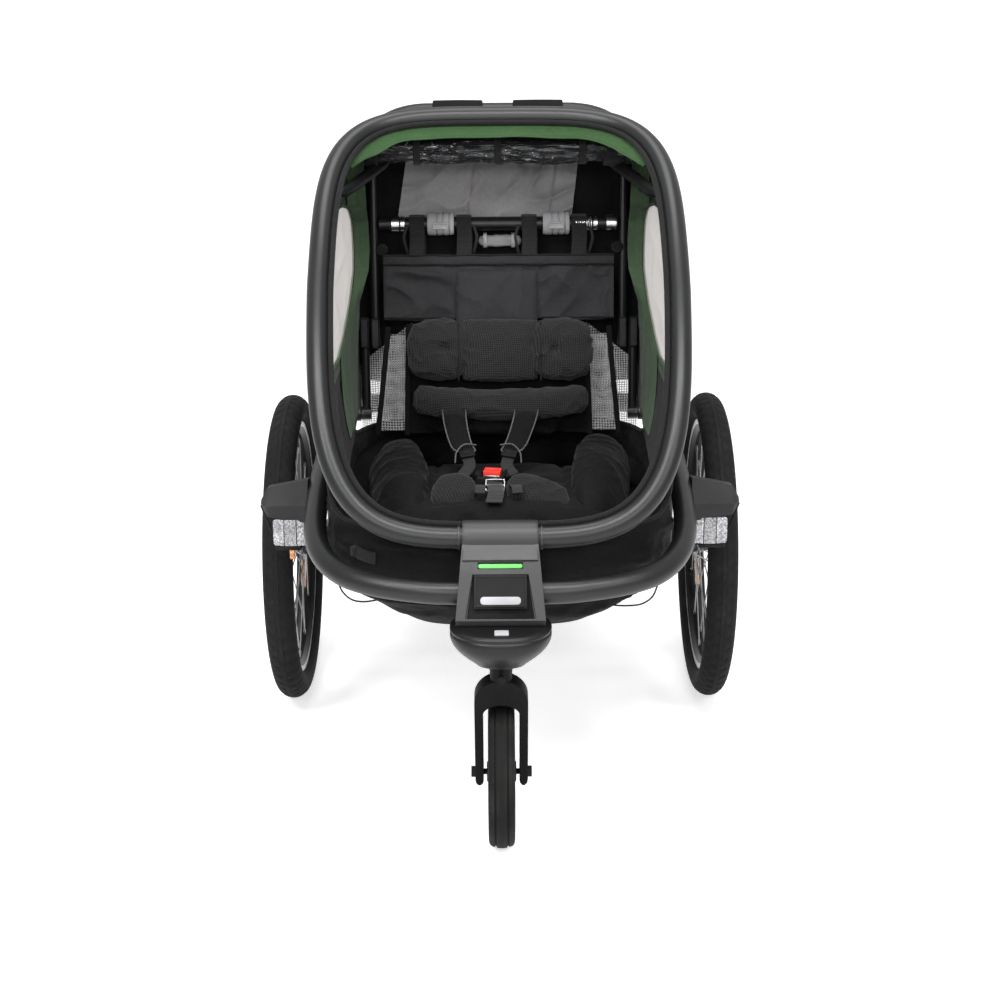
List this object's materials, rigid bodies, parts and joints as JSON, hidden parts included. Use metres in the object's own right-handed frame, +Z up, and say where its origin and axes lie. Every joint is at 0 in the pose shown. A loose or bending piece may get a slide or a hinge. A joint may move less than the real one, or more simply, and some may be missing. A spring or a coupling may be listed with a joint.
{
  "type": "child bike trailer",
  "caption": "Folding child bike trailer with a tubular hoop cabin, padded seat, spoked rear wheels on sprung arms, a swivelling front wheel, a push handle and a rear bag.",
  "frame": {"origin": "on the ground under the middle of the overall box", "axes": "+X across to the trailer's left-hand side as a rider in it would say, the right in a front view; -Y forward to the front wheel; +Z up"},
  "size_m": [0.755, 1.004, 0.963],
  "materials": {
    "black_fabric": "coated black woven",
    "black_mesh_fabric": "black and grey air mesh",
    "black_plastic": "fine grained black",
    "black_rim": "black with a machined wall",
    "clear_film": "soft clear film, slightly milky",
    "green_fabric": "dark green woven lining",
    "green_plastic": "bright green",
    "grey_plastic": "fine grained mid grey",
    "orange_reflector": "prismatic orange",
    "red_plastic": "red",
    "satin_dark_grey": "satin dark grey anodised tube",
    "soft_rubber": "soft black foam and rubber",
    "steel": "plain bright",
    "tyre_rubber": "matte black with a light tread",
    "white_reflector": "prismatic silver white"
  },
  "bodies": {
    "chassis": {"lower_frame": "satin_dark_grey", "front_bracket": "satin_dark_grey", "green_strip": "green_plastic", "wheel_dock": "satin_dark_grey", "wheel_guard_left": "satin_dark_grey", "wheel_guard_right": "satin_dark_grey", "front_reflector_left": "white_reflector", "front_reflector_right": "white_reflector", "axle_beam": "satin_dark_grey", "underbody_tub": "black_fabric", "seat_cushion": "black_fabric", "hip_pad_left": "black_mesh_fabric", "hip_pad_right": "black_mesh_fabric", "harness_buckle": "black_plastic", "canopy": "green_fabric", "side_window_left": "clear_film", "side_window_right": "clear_film", "rear_cover": "black_fabric", "rear_bag": "black_fabric", "suspension_spring_left": "steel", "suspension_spring_right": "steel"},
    "hoop": {"upper_hoop": "satin_dark_grey", "hoop_lip": "soft_rubber", "rain_cover_roll": "clear_film"},
    "rear_posts": {"rear_post_left": "satin_dark_grey", "rear_post_right": "satin_dark_grey"},
    "fold_links": {"fold_link_left": "satin_dark_grey", "fold_link_right": "satin_dark_grey", "seat_bar": "black_plastic", "back_straps": "black_fabric"},
    "clamp_left": {"bar_clamp_left": "grey_plastic"},
    "clamp_right": {"bar_clamp_right": "grey_plastic"},
    "handle": {"push_handle": "satin_dark_grey", "handle_grip_left": "soft_rubber", "handle_grip_right": "soft_rubber"},
    "backrest": {"seat_back": "black_fabric", "headrest": "black_fabric", "lumbar_roll": "black_fabric", "shoulder_pad_left": "black_mesh_fabric", "shoulder_pad_right": "black_mesh_fabric"},
    "caster": {"caster_fork": "satin_dark_grey", "front_axle": "steel"},
    "front_wheel": {"front_tyre": "tyre_rubber", "front_rim": "black_plastic"},
    "swivel_lock": {"swivel_knob": "black_plastic"},
    "dock_lever": {"bracket_lever": "grey_plastic"},
    "release_key": {"buckle_button": "red_plastic"},
    "parking_brake": {"brake_pedal": "grey_plastic"},
    "arm_left": {"suspension_arm_left": "satin_dark_grey"},
    "wheel_left": {"tyre_left": "tyre_rubber", "rim_left": "black_rim", "hub_and_spokes_left": "black_plastic", "spoke_reflector_left": "orange_reflector"},
    "wheel_release_left": {"axle_button_left": "black_plastic"},
    "arm_right": {"suspension_arm_right": "satin_dark_grey"},
    "wheel_right": {"tyre_right": "tyre_rubber", "rim_right": "black_rim", "hub_and_spokes_right": "black_plastic", "spoke_reflector_right": "orange_reflector"},
    "wheel_release_right": {"axle_button_right": "black_plastic"}
  },
  "joints": [
    {"name": "fold_hinge", "type": "hinge", "parent": "chassis", "child": "hoop", "pos_m": [0, -0.3845, 0.433], "axis": [1, 0, 0], "range_deg": [-30, 0], "deforming": ["canopy", "side_window_left", "side_window_right", "rear_cover", "rear_bag", "rain_cover_roll", "back_straps"]},
    {"name": "post_hinge", "type": "hinge", "parent": "chassis", "child": "rear_posts", "pos_m": [0, 0.2515, 0.455], "axis": [1, 0, 0], "range_deg": [0, 74.1]},
    {"name": "link_hinge", "type": "hinge", "parent": "hoop", "child": "fold_links", "pos_m": [0, 0.2765, 0.874], "axis": [1, 0, 0], "range_deg": [-59.8, 0]},
    {"name": "handle_hinge", "type": "hinge", "parent": "hoop", "child": "handle", "pos_m": [0, 0.3345, 0.874], "axis": [1, 0, 0], "range_deg": [-70, 35]},
    {"name": "clamp_slide_left", "type": "slide", "parent": "fold_links", "child": "clamp_left", "axis": [1, 0, 0], "range_m": [-0.004, 0.003]},
    {"name": "clamp_slide_right", "type": "slide", "parent": "fold_links", "child": "clamp_right", "axis": [1, 0, 0], "range_m": [-0.009, 0.0025]},
    {"name": "recline_hinge", "type": "hinge", "parent": "chassis", "child": "backrest", "pos_m": [0, 0.1965, 0.425], "axis": [1, 0, 0], "range_deg": [-5, 0], "deforming": ["back_straps"]},
    {"name": "caster_swivel", "type": "hinge", "parent": "chassis", "child": "caster", "pos_m": [0, -0.4435, 0.25], "axis": [0, 0, 1], "continuous": true},
    {"name": "front_wheel_spin", "type": "hinge", "parent": "caster", "child": "front_wheel", "pos_m": [0, -0.3985, 0.1035], "axis": [1, 0, 0], "continuous": true},
    {"name": "swivel_lock_slide", "type": "slide", "parent": "caster", "child": "swivel_lock", "axis": [0, 1, 0], "range_m": [0, 0.004], "stiffness_N_per_m": 400},
    {"name": "dock_lever_hinge", "type": "hinge", "parent": "chassis", "child": "dock_lever", "pos_m": [0, -0.4245, 0.3942], "axis": [1, 0, 0], "range_deg": [-25, 0], "stiffness_Nm_per_rad": 0.4},
    {"name": "release_key_press", "type": "slide", "parent": "chassis", "child": "release_key", "axis": [0, 0.0698, -0.9976], "range_m": [0, 0.002], "stiffness_N_per_m": 800},
    {"name": "brake_pedal_hinge", "type": "hinge", "parent": "chassis", "child": "parking_brake", "pos_m": [0.15, 0.081, 0.256], "axis": [1, 0, 0], "range_deg": [-18, 0]},
    {"name": "suspension_hinge_left", "type": "hinge", "parent": "chassis", "child": "arm_left", "pos_m": [0, 0.0565, 0.262], "axis": [1, 0, 0], "range_deg": [-3, 6], "stiffness_Nm_per_rad": 250, "springref_deg": -1.72, "deforming": ["suspension_spring_left"]},
    {"name": "wheel_spin_left", "type": "hinge", "parent": "arm_left", "child": "wheel_left", "pos_m": [-0.34, 0.1665, 0.25], "axis": [1, 0, 0], "continuous": true},
    {"name": "wheel_release_press_left", "type": "slide", "parent": "wheel_left", "child": "wheel_release_left", "axis": [1, 0, 0], "range_m": [0, 0.004], "stiffness_N_per_m": 800},
    {"name": "suspension_hinge_right", "type": "hinge", "parent": "chassis", "child": "arm_right", "pos_m": [0, 0.0565, 0.262], "axis": [1, 0, 0], "range_deg": [-3, 6], "stiffness_Nm_per_rad": 250, "springref_deg": -1.72, "deforming": ["suspension_spring_right"]},
    {"name": "wheel_spin_right", "type": "hinge", "parent": "arm_right", "child": "wheel_right", "pos_m": [0.34, 0.1665, 0.25], "axis": [1, 0, 0], "continuous": true},
    {"name": "wheel_release_press_right", "type": "slide", "parent": "wheel_right", "child": "wheel_release_right", "axis": [-1, 0, 0], "range_m": [0, 0.004], "stiffness_N_per_m": 800}
  ],
  "couplings": [
    {"joint": "post_hinge", "follows": "fold_hinge", "ratio": -2.467},
    {"joint": "link_hinge", "follows": "fold_hinge", "ratio": 1.99}
  ]
}
